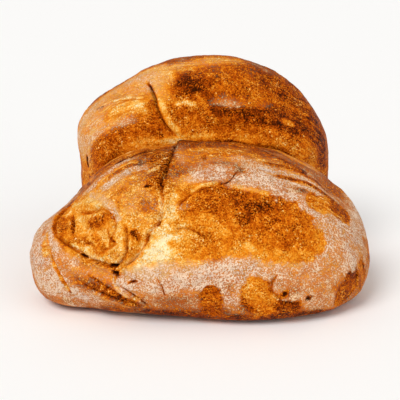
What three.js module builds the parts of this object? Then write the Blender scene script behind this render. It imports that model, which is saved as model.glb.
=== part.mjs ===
// A rustic sourdough loaf, baked as one piece: one solid, with nothing to take apart.
//
// The dough was rolled up, and the roll was then folded over on itself before baking. Its lower lobe lies in front.
// Its upper lobe rises behind that, set back from it. A deep crease runs between the two across the front and down
// both ends, and dies out in the fold, which rounds off the back. One end of the roll stands out at the front left
// corner. The whole underside is flat where it stood on the oven's stone, and its edge is rounded.
//
// Millimetres, +Z up, +X along the loaf, -Y towards the open side of the fold.
// The origin is the middle of the underside.

import * as THREE from "three";

// Driving dimensions: the finished loaf over all. The lobes below give its proportions.
const LENGTH = 274;
const DEPTH = 240;
const HEIGHT = 176;

// Each lobe of dough is an egg. middle is its centre, wide and deep are its half-sizes along X and Y, and above and
// below are its heights over and under the middle. From above it is a squared-off oval: square is the oval's
// exponent, 2 for a plain ellipse.
const LOBES = [
  { name: "lower roll", middle: [10, -26, 30], wide: 128, deep: 82, above: 93, below: 72, square: 2.5 },
  { name: "lower shoulder", middle: [-28, -26, 30], wide: 84, deep: 81, above: 90, below: 62, square: 2.2 },
  { name: "rolled end", middle: [-82, -38, 38], wide: 53, deep: 52, above: 40, below: 60, square: 2.2 },
  { name: "upper roll", middle: [7, 70, 84], wide: 106, deep: 60, above: 92, below: 76, square: 2.4 },
  { name: "upper shoulder", middle: [-49, 68, 90], wide: 61, deep: 60, above: 63, below: 76, square: 2.4 },
  { name: "fold", middle: [6, 66, 58], wide: 108, deep: 66, above: 74, below: 82, square: 2.4 },
  { name: "base", middle: [5, 34, 30], wide: 112, deep: 92, above: 60, below: 62, square: 2.4 },
];

// How far two neighbouring lobes, and the lobes and the floor, are rounded into each other.
const CREASE_BLEND = 4;
const BOTTOM_EDGE_BLEND = 12;

// The point inside the dough that every part of the crust faces.
const HEART = new THREE.Vector3(0, 42, 44);

// Triangles along each edge of the starting icosahedron, less one.
const DETAIL = 17;

// The distance from a point to a lobe's skin, negative inside: exact at the skin, and close to it elsewhere.
function lobeDistance(lobe, point) {
  const offset = point.clone().sub(new THREE.Vector3(...lobe.middle));
  const height = offset.z > 0 ? lobe.above : lobe.below;
  const oval = Math.abs(offset.x / lobe.wide) ** lobe.square + Math.abs(offset.y / lobe.deep) ** lobe.square;
  const reach = Math.hypot(oval ** (1 / lobe.square), offset.z / height);
  return offset.length() * (1 - 1 / Math.max(reach, 1e-6));
}

// The smaller of two distances, rounded off where they differ by less than blend.
function softMin(a, b, blend) {
  const nearness = Math.max(blend - Math.abs(a - b), 0) / blend;
  return Math.min(a, b) - (nearness * nearness * blend) / 4;
}

// All the lobes as one body of dough, cut flat by the floor.
function doughDistance(point) {
  const distances = LOBES.map((lobe) => lobeDistance(lobe, point));
  const dough = distances.reduce((a, b) => softMin(a, b, CREASE_BLEND));
  return -softMin(-dough, point.z, BOTTOM_EDGE_BLEND);
}

// How far the crust is from the heart in one direction: the outermost place where the ray leaves the dough.
function crustReach(direction) {
  const COARSE_STEP = 2;
  const HALVINGS = 14;
  const isOutside = (reach) => doughDistance(HEART.clone().addScaledVector(direction, reach)) > 0;
  let outside = LENGTH;
  while (isOutside(outside - COARSE_STEP)) outside -= COARSE_STEP;
  let inside = outside - COARSE_STEP;
  for (let i = 0; i < HALVINGS; i++) {
    const middle = (inside + outside) / 2;
    if (isOutside(middle)) outside = middle;
    else inside = middle;
  }
  return inside;
}

// An icosphere, with every vertex pushed out from the heart to the crust.
function inflateDough() {
  const geometry = new THREE.IcosahedronGeometry(1, DETAIL);
  geometry.deleteAttribute("normal");
  geometry.deleteAttribute("uv");
  const positions = geometry.getAttribute("position");
  const direction = new THREE.Vector3();
  for (let i = 0; i < positions.count; i++) {
    direction.fromBufferAttribute(positions, i).normalize();
    const place = HEART.clone().addScaledVector(direction, crustReach(direction));
    positions.setXYZ(i, ...place);
  }
  return geometry;
}

// Brings the loaf to its driving dimensions, and puts the origin in the middle of its underside.
function fitToSize(geometry) {
  geometry.computeBoundingBox();
  const size = geometry.boundingBox.getSize(new THREE.Vector3());
  geometry.scale(LENGTH / size.x, DEPTH / size.y, HEIGHT / size.z);
  geometry.computeBoundingBox();
  const { min, max } = geometry.boundingBox;
  geometry.translate(-(min.x + max.x) / 2, -(min.y + max.y) / 2, -min.z);
}

// Presses the underside quite flat: what is within a hair of the floor lies on it.
function flattenUnderside(geometry) {
  const HAIR = 0.02;
  const positions = geometry.getAttribute("position");
  for (let i = 0; i < positions.count; i++) {
    if (positions.getZ(i) < HAIR) positions.setZ(i, 0);
  }
}

const geometry = inflateDough();
fitToSize(geometry);
flattenUnderside(geometry);
geometry.computeVertexNormals();

const crust = new THREE.MeshStandardMaterial({ color: 0xb9672a, roughness: 0.75, metalness: 0 });
const loaf = new THREE.Mesh(geometry, crust);
loaf.name = "loaf";

const group = new THREE.Group();
group.add(loaf);

export default group;
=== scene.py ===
# %% [markdown]
# # A folded sourdough loaf
# The loaf is one long roll of floury dough that was folded back on itself before it went into the oven.
# The two halves swelled against each other, so a low wide roll lies in front and a higher one leans
# over it from behind. Where the dough was lapped, a seam runs down the middle of both. The finished
# solid gives the size and the big forms. This script gives it the skin: laps, cracks, blisters, flour
# and a bake that runs from pale gold in the folds to nearly black on the shoulders.

# %% The frame that the loaf is built on
import math

import bmesh
import bpy
import numpy as np
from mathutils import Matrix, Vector, noise
from mathutils.bvhtree import BVHTree


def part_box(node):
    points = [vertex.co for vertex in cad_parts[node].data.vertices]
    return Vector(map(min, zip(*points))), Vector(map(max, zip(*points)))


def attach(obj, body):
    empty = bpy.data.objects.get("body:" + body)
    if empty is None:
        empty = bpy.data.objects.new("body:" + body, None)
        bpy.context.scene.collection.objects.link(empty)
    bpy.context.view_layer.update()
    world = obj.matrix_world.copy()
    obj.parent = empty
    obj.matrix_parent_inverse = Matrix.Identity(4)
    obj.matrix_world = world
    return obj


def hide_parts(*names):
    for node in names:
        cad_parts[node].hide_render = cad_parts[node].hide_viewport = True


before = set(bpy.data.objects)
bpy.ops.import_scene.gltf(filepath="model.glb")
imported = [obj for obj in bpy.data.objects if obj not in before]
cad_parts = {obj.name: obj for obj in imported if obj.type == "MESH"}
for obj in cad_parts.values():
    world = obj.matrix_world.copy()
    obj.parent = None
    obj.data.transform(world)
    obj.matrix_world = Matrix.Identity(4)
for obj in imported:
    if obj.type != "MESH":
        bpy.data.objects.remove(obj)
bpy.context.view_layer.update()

MM = 0.001
loaf_low, loaf_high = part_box("loaf")
print("the loaf measures", [round(side / MM) for side in loaf_high - loaf_low], "mm")

# %% [markdown]
# ## The camera
# A loaf is looked at from a little above the table, with a long lens that hardly bends its outline. A
# camera could be turned by three angles, but those are hard to guess. Here it stands a distance away
# along a line, and looks back down that line at the loaf, which is easier to imagine and to correct.

# %% Camera
LOOK_DOWN = math.radians(18)
CAMERA_DISTANCE = 0.95
VIEW_WIDTH = 0.3305
FILM_WIDTH = 36
AIM_SHIFT = Vector((-0.5, -11.5, -19)) * MM
aim = (loaf_low + loaf_high) / 2 + AIM_SHIFT
towards_camera = Vector((0, -math.cos(LOOK_DOWN), math.sin(LOOK_DOWN)))

scene = bpy.context.scene
camera = bpy.data.objects.new("camera", bpy.data.cameras.new("camera"))
scene.collection.objects.link(camera)
camera.location = aim + towards_camera * CAMERA_DISTANCE
camera.rotation_euler = towards_camera.to_track_quat("Z", "Y").to_euler()
camera.data.sensor_width = FILM_WIDTH
camera.data.lens = FILM_WIDTH * CAMERA_DISTANCE / VIEW_WIDTH
camera.data.clip_start = 0.01
scene.camera = camera
scene.view_settings.view_transform = "Standard"
print("the lens is", round(camera.data.lens), "mm long")

# %% [markdown]
# ## Helpers for materials
# A material is a graph of nodes: noises, sums and colours joined by wires. Making one node and joining it
# takes several lines, so two helpers shorten that to one. Colours are chosen as they look on a screen,
# and a third helper turns them into the amounts of light that a shader works with.


# %% Small helpers for materials
def new_material(name):
    """A material with an empty node tree, its Principled shader and its output."""
    material = bpy.data.materials.new(name)
    material.use_nodes = True
    tree = material.node_tree
    return material, tree, tree.nodes["Principled BSDF"]


def add_node(tree, kind, settings=None, **sockets):
    """A new node, with its settings, and its sockets set to numbers or joined to other nodes."""
    made = tree.nodes.new(kind)
    for name, value in (settings or {}).items():
        setattr(made, name, value)
    for name, value in sockets.items():
        plug(tree, made.inputs[int(name[1:]) if name[0] == "_" else name.replace("_", " ")], value)
    return made


def plug(tree, socket, value):
    """Sets a socket to a number or colour, or joins it to another node's output."""
    if isinstance(value, bpy.types.NodeSocket):
        tree.links.new(value, socket)
    else:
        socket.default_value = value


def linear(red, green, blue):
    """A colour as seen on a screen, 0 to 255, as the light values that a shader needs."""
    seen = np.array([red, green, blue]) / 255
    light = np.where(seen > 0.04045, ((seen + 0.055) / 1.055) ** 2.4, seen / 12.92)
    return (*(float(value) for value in light), 1.0)


# %% [markdown]
# ## The table and the light
# The table is a plain white sheet, so wide that its far edge meets the horizon. One large soft lamp
# stands to the upper left, a weaker one fills from the right, and a pale sky lights the rest, so colours
# stay close to their own and shadows stay soft. The lamps are distant ones, like the sun behind a cloud:
# they light the whole table evenly, and there is no lamp in view from any side.

# %% Floor
FLOOR_SIZE = 40
FLOOR_COLOUR = linear(250, 249, 247)

floor_bm = bmesh.new()
bmesh.ops.create_grid(floor_bm, x_segments=8, y_segments=8, size=FLOOR_SIZE / 2)
floor_mesh = bpy.data.meshes.new("floor")
floor_bm.to_mesh(floor_mesh)
floor_bm.free()
floor = bpy.data.objects.new("floor", floor_mesh)
scene.collection.objects.link(floor)
floor_paint, _, floor_shader = new_material("white_table")
floor_shader.inputs["Base Color"].default_value = FLOOR_COLOUR
floor_shader.inputs["Roughness"].default_value = 0.9
floor_shader.inputs["Specular IOR Level"].default_value = 0.1
floor.data.materials.append(floor_paint)
print("the table is", FLOOR_SIZE, "m wide")


# %% Light
def soft_light(name, place, strength, softness):
    """A distant lamp that lights the whole table evenly, wide enough to leave soft shadows."""
    lamp = bpy.data.objects.new(name, bpy.data.lights.new(name, "SUN"))
    scene.collection.objects.link(lamp)
    lamp.location = place
    lamp.rotation_euler = Vector(place).to_track_quat("Z", "Y").to_euler()
    lamp.data.energy = strength
    lamp.data.angle = math.radians(softness)
    print("a lamp called", name, "of strength", strength)


SKY_STRENGTH = 0.5

soft_light("window", (-0.8, -1.1, 1.5), 1.9, 30)
soft_light("reflector", (1.2, -1.0, 0.8), 0.5, 60)
sky = bpy.data.worlds.new("pale_sky")
sky.use_nodes = True
sky.node_tree.nodes["Background"].inputs["Color"].default_value = (1, 1, 1, 1)
sky.node_tree.nodes["Background"].inputs["Strength"].default_value = SKY_STRENGTH
scene.world = sky

# %% [markdown]
# ## The dough
# The solid that holds the size is made of large flat triangles. Real dough is a stretched skin with no
# flats, so a copy of the solid is merged, rounded by subdivision, and wrapped in an even net of small
# squares. An even net lets later steps push any spot in or out without tearing or pinching it.

# %% An even skin over the loaf
NET_SIZE = 1.9
MERGE_WITHIN = 0.02
SMOOTHING_ROUNDS = 8


def even_skin():
    """A closed, evenly meshed copy of the loaf's solid."""
    skin = bpy.data.objects.new("loaf_crust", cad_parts["loaf"].data.copy())
    scene.collection.objects.link(skin)
    bm = bmesh.new()
    bm.from_mesh(skin.data)
    bmesh.ops.remove_doubles(bm, verts=bm.verts, dist=MERGE_WITHIN * MM)
    bm.to_mesh(skin.data)
    bm.free()
    rounding = skin.modifiers.new("rounding", "SUBSURF")
    rounding.levels = 2
    rounding.render_levels = 2
    netting = skin.modifiers.new("netting", "REMESH")
    netting.mode = "VOXEL"
    netting.voxel_size = NET_SIZE * MM
    netted = bpy.data.meshes.new_from_object(skin.evaluated_get(bpy.context.evaluated_depsgraph_get()))
    skin.modifiers.clear()
    skin.data = netted
    return skin


def relax(mesh, rounds):
    """Evens out the small steps that the net leaves."""
    bm = bmesh.new()
    bm.from_mesh(mesh)
    for _ in range(rounds):
        bmesh.ops.smooth_vert(bm, verts=bm.verts, factor=0.5,
                              use_axis_x=True, use_axis_y=True, use_axis_z=True)
    bm.to_mesh(mesh)
    bm.free()


crust = even_skin()
relax(crust.data, SMOOTHING_ROUNDS)
print("the skin has", len(crust.data.polygons), "small squares")

# %% [markdown]
# ## Finding a place on the crust
# A baker points at a place on a loaf by looking at it from one side: so far across, so far up. The
# helpers below do the same. A place is two numbers in millimetres as seen from one side, and a straight
# line of sight finds the crust behind them. A path is a smooth curve through a few such places.

# %% Lines of sight
SIDES = {"front": (0, 18), "right": (90, 10), "back": (180, 18), "left": (270, 10)}
FAR = 500
CURVE_STEP = 2.5


def view_axes(side):
    """The directions across, up and towards the eye for one side."""
    turn, tilt = (math.radians(angle) for angle in SIDES[side])
    towards = Vector((math.sin(turn) * math.cos(tilt), -math.cos(turn) * math.cos(tilt), math.sin(tilt)))
    across = Vector((math.cos(turn), math.sin(turn), 0))
    return across, towards.cross(across), towards


def points_of(mesh):
    """Every corner of a mesh, in millimetres."""
    flat = np.empty(len(mesh.vertices) * 3)
    mesh.vertices.foreach_get("co", flat)
    return flat.reshape(-1, 3) / MM


def directions_of(mesh):
    """The outward direction at every corner of a mesh."""
    flat = np.empty(len(mesh.vertices) * 3)
    mesh.vertex_normals.foreach_get("vector", flat)
    return flat.reshape(-1, 3)


tree_bm = bmesh.new()
tree_bm.from_mesh(crust.data)
crust_tree = BVHTree.FromBMesh(tree_bm)
tree_bm.free()


def on_crust(across, up, side):
    """The nearest point of the crust that the eye sees at (across, up), in millimetres, or None."""
    right, rise, towards = view_axes(side)
    eye = (right * across + rise * up + towards * FAR) * MM
    hit = crust_tree.ray_cast(eye, -towards)[0]
    return None if hit is None else np.array(hit) / MM


def smooth_curve(places):
    """Places a short step apart, along a smooth curve through the given ones."""
    given = np.array(places, float)
    if len(given) < 3:
        given = np.vstack([given, given[-1:] + 0.01])
    padded = np.vstack([2 * given[0] - given[1], given, 2 * given[-1] - given[-2]])
    curve = []
    for before, start, end, after in zip(padded, padded[1:], padded[2:], padded[3:]):
        count = max(1, int(np.linalg.norm(end - start) / CURVE_STEP))
        for share in np.arange(count) / count:
            curve.append(0.5 * (2 * start + (end - before) * share
                                + (2 * before - 5 * start + 4 * end - after) * share ** 2
                                + (3 * start - before - 3 * end + after) * share ** 3))
    return curve + [given[-1]]


def path_on_crust(places, side="front"):
    """A smooth path on the crust, as points in millimetres. One place gives a path too short to see."""
    route = places if len(places) > 1 else [places[0], (places[0][0] + 0.1, places[0][1])]
    seen = [on_crust(across, up, side) for across, up in smooth_curve(route)]
    return np.array([point for point in seen if point is not None])


# %% [markdown]
# ## The folds and tears
# A lap is where one layer of dough lies over another: its edge stands up and a dark gap runs under it.
# A crack is where the crust stopped stretching and split. Both are long, thin marks, so each is a path
# with a profile across it. The paths come first, because the net is made finer beside them.

# %% Paths of the laps, folds and cracks
upper_lap = path_on_crust([(-46, 162), (-40, 155), (-36, 147), (-34, 139), (-31, 132), (-27, 124),
                           (-22, 118), (-17, 114)])
lower_lap = path_on_crust([(-17, 108), (-21, 96), (-26, 81), (-29, 73), (-27, 65), (-28, 56), (-28, 49),
                           (-32, 42), (-38, 36), (-40, 30), (-46, 23), (-52, 15), (-58, 11), (-63, 5),
                           (-64, 0)])
rolled_edge = path_on_crust([(-59, 46), (-55, 38), (-54, 32), (-54, 26), (-55, 21), (-59, 15), (-64, 12),
                             (-71, 13), (-78, 15), (-85, 17), (-91, 21), (-98, 25), (-106, 30), (-111, 34),
                             (-113, 39), (-112, 45), (-109, 50), (-105, 55), (-98, 60)])
petal_edge = path_on_crust([(-37, 36), (-40, 30), (-44, 24), (-50, 17), (-57, 12)])
collar_crack = path_on_crust([(-120, 37), (-118, 28), (-114, 18), (-109, 8), (-103, -3), (-99, -9)])
oval_step = path_on_crust([(27, 83), (24, 79), (21, 76), (12, 73), (-1, 69), (-10, 64), (-19, 55)])
middle_tear = path_on_crust([(-22, 38), (-15, 41), (-9, 41), (-5, 39), (1, 36), (5, 33)])
bowl_arc = path_on_crust([(-33, 4), (-29, -2), (-27, -9)])
corner_folds = [path_on_crust(places) for places in (
    [(-92, 0), (-76, -8), (-60, -14), (-46, -20)],
    [(-84, 6), (-68, -5), (-49, -17)],
    [(-60, -2), (-52, -9), (-40, -19)])]
shoulder_crack = path_on_crust([(-89, 139), (-80, 143), (-69, 145), (-59, 145), (-48, 146), (-43, 145)])
shoulder_stripe = path_on_crust([(-87, 65), (-78, 72), (-70, 79), (-60, 86), (-49, 89)])
flour_curl = path_on_crust([(57, 6), (54, 0), (54, -6), (59, -11), (65, -14), (76, -14)])
right_slits = [path_on_crust(places) for places in ([(120, 12), (122, 6), (122, 0)], [(128, 17), (129, 9)])]
swirl_lines = [path_on_crust(places) for places in (
    [(-101, 52), (-99, 45), (-98, 39), (-101, 35)], [(-78, 21), (-70, 25), (-62, 30)],
    [(-95, 52), (-84, 53), (-74, 55), (-67, 51)], [(-90, 26), (-84, 30), (-80, 24), (-76, 17)],
    [(-66, 50), (-64, 40), (-68, 32)])]
side_folds = [path_on_crust([(-18, 40), (-15, 26), (-11, 10), (-9, -4), (-8, -15)], "left"),
              path_on_crust([(16, 76), (14, 60), (12, 44), (10, 30), (9, 19)], "right")]
back_tears = [path_on_crust(places, "back") for places in (
    [(-62, 40), (-36, 50), (-6, 46), (24, 50), (56, 42)], [(20, 6), (44, 12), (62, 8)])]
torn_holes = [path_on_crust(places) for places in (
    [(-91, 21), (-86, 18)], [(-67, 13), (-62, 12)], [(-66, 8), (-61, 7)], [(-59, 15), (-57, 17)],
    [(-28, 73), (-28, 68)], [(-54, 28), (-54, 22)], [(-54, 0), (-48, 1)], [(-49, 78), (-46, 77)],
    [(-42, 73), (-39, 73)], [(-29, 47), (-32, 42)], [(-38, 37), (-40, 31)], [(-99, 98), (-99, 89)])]
fold_marks = [upper_lap, lower_lap, rolled_edge, petal_edge, collar_crack, oval_step, middle_tear, bowl_arc,
              *corner_folds, shoulder_crack, shoulder_stripe, flour_curl, *right_slits, *swirl_lines,
              *side_folds, *back_tears, *torn_holes]


def length_of(path):
    """How long a path is, in millimetres."""
    return float(np.linalg.norm(np.diff(path, axis=0), axis=1).sum())


print("paths of", [round(length_of(path)) for path in fold_marks], "mm")

# %% [markdown]
# ## The crease between the two rolls
# The crease is the valley where the two halves of the loaf meet. The rolls hide its floor from most
# sides, so it can't be pointed at as the other folds can. Instead a line of sight slides across the loaf,
# from one roll to the other, and the deepest spot that it passes over belongs to the crease. Many such
# spots, from the left end over the top to the right end, are then averaged into one calm line.


# %% The crease between the two rolls
CALMING_ROUNDS = 6
SIGHT_LINES = 60
LEAST_VALLEY = 2.0
NO_CRUST = -1e3
LEFT_EYE = -200
RIGHT_EYE = 200
HIGH_EYE = 250


def lowest_between(start, end, downwards):
    """Slides a line of sight from start to end and keeps the deepest spot of the valley it passes over."""
    places = np.linspace(start, end, SIGHT_LINES)
    hits = [crust_tree.ray_cast(Vector(place) * MM, Vector(downwards))[0] for place in places]
    depths = [NO_CRUST if hit is None else float(np.dot(np.array(hit) / MM, downwards)) for hit in hits]
    best = None
    deepest = LEAST_VALLEY
    for index in range(1, SIGHT_LINES - 1):
        rise_before = depths[index] - min(depths[:index])
        rise_after = depths[index] - min(depths[index + 1:])
        if depths[index] > NO_CRUST and min(rise_before, rise_after) > deepest:
            best = index
            deepest = min(rise_before, rise_after)
    return None if best is None else np.array(hits[best]) / MM


crease_spots = [lowest_between((LEFT_EYE, -70, up), (LEFT_EYE, 90, up), (1, 0, 0))
                for up in range(25, 95, 6)]
crease_spots += [lowest_between((across, -60, HIGH_EYE), (across, 80, HIGH_EYE), (0, 0, -1))
                 for across in range(-95, 106, 5)]
crease_spots += [lowest_between((RIGHT_EYE, -70, up), (RIGHT_EYE, 90, up), (-1, 0, 0))
                 for up in range(91, 20, -6)]
crease = np.array([spot for spot in crease_spots if spot is not None])
for _ in range(CALMING_ROUNDS):
    crease[1:-1] = (crease[:-2] + 2 * crease[1:-1] + crease[2:]) / 4
print("the crease is", round(length_of(crease)), "mm long, from", crease[0].round(),
      "over", crease[len(crease) // 2].round(), "to", crease[-1].round())

# %% [markdown]
# ## A finer net where it is needed
# A crack is only about as wide as one square of the net, too narrow for a clean edge. A finer net all
# over would take far too many squares, so only those beside a path are split into four, the nearest
# first, until the piece has as many triangles as it may have. A split adds about seven, because the
# squares next to it gain corners too.


# %% A finer net beside every fold and crack
FINE_REACH = 5.0
LONGEST_STEP = 20
MOST_TRIANGLES = 196000
MORE_PER_SPLIT = 7


def gap_to_path(points, path, reach):
    """For the points within reach of a path: which ones, how far, where along it (0 to 1), and the foot.
    A step longer than LONGEST_STEP jumps over a valley that the eye can't see into, so it is left out."""
    inside = np.all((points > path.min(0) - reach) & (points < path.max(0) + reach), axis=1)
    near = np.flatnonzero(inside)
    close = points[near]
    best = np.full(len(near), np.inf)
    along = np.zeros(len(near))
    foot = np.zeros((len(near), 3))
    heading = np.zeros((len(near), 3))
    lengths = np.linalg.norm(np.diff(path, axis=0), axis=1)
    starts = np.concatenate([[0], np.cumsum(lengths)])
    for index, (start, end) in enumerate(zip(path, path[1:])):
        if not 1e-6 < lengths[index] < LONGEST_STEP:
            continue
        way = (end - start) / lengths[index]
        reached = np.clip((close - start) @ way, 0, lengths[index])
        spot = start + reached[:, None] * way
        gap = np.linalg.norm(close - spot, axis=1)
        nearer = gap < best
        best[nearer] = gap[nearer]
        along[nearer] = ((starts[index] + reached) / starts[-1])[nearer]
        foot[nearer] = spot[nearer]
        heading[nearer] = way
    kept = best < reach
    return near[kept], best[kept], along[kept], foot[kept], heading[kept]


def refine(mesh, paths, reach):
    """Splits every small square beside the paths into four, until the piece has as many as it may have."""
    points = points_of(mesh)
    gaps = np.full(len(points), np.inf)
    for path in paths:
        near, gap = gap_to_path(points, path, reach)[:2]
        gaps[near] = np.minimum(gaps[near], gap)
    bm = bmesh.new()
    bm.from_mesh(mesh)
    spare = (MOST_TRIANGLES - sum(len(face.verts) - 2 for face in bm.faces)) // MORE_PER_SPLIT
    ranked = sorted((max(gaps[vert.index] for vert in face.verts), face.index) for face in bm.faces)
    bm.faces.ensure_lookup_table()
    chosen = [bm.faces[index] for gap, index in ranked[:spare] if gap < reach]
    edges = list(dict.fromkeys(edge for face in chosen for edge in face.edges))
    bmesh.ops.subdivide_edges(bm, edges=edges, cuts=1, use_grid_fill=True)
    bmesh.ops.triangulate(bm, faces=[face for face in bm.faces if len(face.verts) > 4])
    bm.to_mesh(mesh)
    bm.free()
    return len(chosen)


refined = refine(crust.data, [*fold_marks, crease], FINE_REACH)
rest = points_of(crust.data)
outward = directions_of(crust.data)
push = np.zeros_like(rest)
print("refined", refined, "squares; the skin now has",
      sum(len(face.vertices) - 2 for face in crust.data.polygons), "triangles")

# %% [markdown]
# ## Shaping the crust
# All shaping is a push on every corner of the net, mostly along the outward direction. The pushes are
# added up and made once at the end, so each mark is placed on the same calm surface and the order of
# the cells doesn't matter. A fade runs from 1 to 0 without a kink, which keeps every edge soft.


# %% Profiles and noise
def fade(share):
    """1 at or below 0, 0 at or above 1, and smooth between."""
    held = np.clip(share, 0, 1)
    return 1 - held * held * (3 - 2 * held)


def bump(share):
    """A smooth hill: 1 at 0, and 0 beyond -1 and 1."""
    return fade(np.abs(share))


def lumps(points, size, seed=0, octaves=2):
    """Smooth noise from about -1 to 1, with lumps of the given size in millimetres."""
    shift = Vector((17.3 * seed, -9.1 * seed, 5.7 * seed))
    return np.array([noise.fractal(Vector(point) / size + shift, 1.0, 2.0, octaves) for point in points])


def ends(along, share=0.12):
    """Fades a mark out at both of its ends."""
    return fade(1 - along / share) * fade(1 - (1 - along) / share)


def side_of(near, foot, heading):
    """The direction across a path at each point, and how far the point lies to that side."""
    across = np.cross(outward[near], heading)
    across /= np.maximum(np.linalg.norm(across, axis=1), 1e-9)[:, None]
    return across, np.einsum("ij,ij->i", rest[near] - foot, across)


# %% Tools that press, raise, lap and crack
RAGGED = 0.35
PATCH_EDGE = 2.2
LAP_EDGE = 1.2
LEAN_REACH = 6
roughness_of_edges = lumps(rest, 7, 8, 4)


def swell(rise, reach, places, side="front"):
    """Raises the crust along a path, or presses it in where rise is below 0."""
    near, gap, _, _, _ = gap_to_path(rest, path_on_crust(places, side), reach)
    push[near] += (rise * bump(gap / reach))[:, None] * outward[near]


def swell_all(swellings):
    """Makes a list of swellings, each given by its rise, its reach and its places."""
    for rise, reach, places in swellings:
        swell(rise, reach, places)
    print(len(swellings), "swellings and hollows")


def peel(depth, width, places, side="front"):
    """Takes the floury outer skin off along a path, which leaves a low ragged step around the place."""
    near, gap, _, _, _ = gap_to_path(rest, path_on_crust(places, side), width * 1.5)
    uneven = gap + RAGGED * width * roughness_of_edges[near]
    push[near] -= (depth * fade((uneven - width) / PATCH_EDGE + 0.5))[:, None] * outward[near]


def lay_lap(path, rise, shelf, gap_depth, gap_width, overhang, last=1.0, tip=0.12):
    """One layer over another: high on the right of a path that runs down, with a dark gap on its left.
    Its height at the path's last point is the given share of the full height."""
    near, gap, along, foot, heading = gap_to_path(rest, path, shelf)
    across, side = side_of(near, foot, heading)
    wobble = 1 + RAGGED * lumps(foot, 9, 3)
    share = ends(along, tip) * (1 + (last - 1) * along)
    high = rise * fade(side / shelf) * fade(0.5 - side / LAP_EDGE) * wobble
    in_gap = np.where(side < LAP_EDGE / 2, 1, 0)
    low = -gap_depth * bump((side + 0.5 * gap_width) / gap_width) * in_gap * wobble
    push[near] += ((high + low) * share)[:, None] * outward[near]
    lean = -overhang * fade(side / LEAN_REACH) * fade(0.5 - side / LAP_EDGE) * share
    push[near] += lean[:, None] * across


def crack(path, depth, width, lips=0.0, wander=4, tip=0.15):
    """A narrow split, with lips that curl up on both sides."""
    near, gap, along, foot, _ = gap_to_path(rest, path, width * 3)
    ragged = width * (1 + 0.5 * lumps(foot, wander, 5))
    cut = -depth * bump(gap / ragged) * (1 + 0.4 * lumps(foot, 1.5 * wander, 6))
    curl = lips * bump((gap - 1.6 * ragged) / (1.4 * ragged))
    push[near] += ((cut + curl) * ends(along, tip))[:, None] * outward[near]


def roughen(depth, size, reach, places):
    """Makes the crust lumpy along a path, where the dough tore or rolled up."""
    near, gap, _, _, _ = gap_to_path(rest, path_on_crust(places), reach)
    push[near] += (depth * fade(gap / reach) * lumps(rest[near], size, 24))[:, None] * outward[near]


def pit(place, depth, radius):
    """A small round hole where a bubble burst."""
    spot = on_crust(*place, "front")
    away = np.linalg.norm(rest - spot, axis=1)
    push[:] += (-depth * fade((away / radius) ** 1.5))[:, None] * outward


# %% [markdown]
# ## Folding and cracking the loaf
# With the tools in hand, the marks are made one after another. The laps are the edges of the dough where
# the baker folded it, so one side stands over the other. The cracks opened in the oven, so both lips curl
# up. Last come the spots where the dough tore and rolled up in crumbs. All could be carved into the net
# by hand in sculpt mode, but a mark with four or five numbers is easy to correct later.

# %% The loaf's folds and cracks
crack(crease, 7, 5.5, wander=16, tip=0.25)
lay_lap(upper_lap, 3.2, 16, 3.5, 2.2, 1.6, tip=0.3)
lay_lap(lower_lap, 3.4, 18, 4.0, 2.4, 1.4, last=0.15)
lay_lap(rolled_edge, 2.4, 8, 1.6, 2.0, 0.6)
lay_lap(flour_curl, 1.8, 9, 1.2, 1.6, 0.9)
crack(rolled_edge, 1.6, 2.0, 0.5)
crack(petal_edge, 3.0, 1.8, 0.6)
crack(collar_crack, 1.6, 1.5, 0.7)
crack(oval_step, 1.4, 1.3, 0.5)
crack(middle_tear, 1.3, 1.1, 0.2)
crack(bowl_arc, 1.4, 1.3, 0.3)
for fold in corner_folds:
    crack(fold, 1.8, 1.8, 0.6)
crack(shoulder_crack, 1.0, 1.3, 0.6)
crack(shoulder_stripe, 0.9, 1.6, 0.5)
for slit in right_slits:
    crack(slit, 2.0, 1.4, 0.3)
for line in swirl_lines:
    crack(line, 2.0, 1.6, 0.9)
for fold in side_folds:
    crack(fold, 4.0, 4.5, 0.8, wander=10, tip=0.3)
for tear in back_tears:
    crack(tear, 3.4, 3.6, 1.6, wander=5, tip=0.3)
for hole in torn_holes:
    crack(hole, 3.0, 1.7, 0.5, tip=0.3)
print(len(fold_marks) + 1, "folds and cracks")

# %% Burst bubbles and rough spots
burst_bubbles = ((63, -8), (81, -13))
pit(burst_bubbles[0], 1.6, 2.2)
pit(burst_bubbles[1], 1.8, 1.8)
roughen(1.0, 7, 26, [(-94, 46), (-76, 36)])
roughen(0.9, 4.5, 14, [(-38, 98), (-34, 82)])
roughen(1.1, 4.5, 6, [(-29, 68), (-28, 56), (-29, 46), (-40, 32)])
roughen(0.9, 5, 9, [(-88, 20), (-70, 12), (-58, 16)])
print("the deepest mark so far is", round(float(np.linalg.norm(push, axis=1).max()), 1), "mm")

# %% [markdown]
# ## Swellings and hollows
# The solid gives each roll one smooth bulge. Real dough swells more where its skin is weak and stays
# hollow where it is taut, and light breaks on it many times over. Each swelling here is one wide soft push
# along a short path, with its rise and its reach in millimetres. The first few set the outline.

# %% The outline: where the rolls swell and draw in
outline_swellings = (
    (-7, 42, [(-25, 62), (-90, 62)], "left"),
    (-3.5, 30, [(60, 158), (80, 142)], "front"),
    (-2.2, 26, [(-36, 166), (-12, 176)], "front"),
    (-3, 20, [(104, 70), (114, 64)], "front"),
    (-2, 34, [(126, 40), (130, 20)], "front"),
    (-4, 30, [(-15, 20), (-10, -8)], "left"),
    (-4, 30, [(13, 46), (10, 24)], "right"),
    (2.5, 40, [(-30, 84), (40, 80)], "back"),
    (-2, 22, [(-60, 10), (0, 18), (60, 12)], "back"),
)
for rise, reach, places, side in outline_swellings:
    swell(rise, reach, places, side)
print(len(outline_swellings), "swellings and hollows of the outline")

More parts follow.
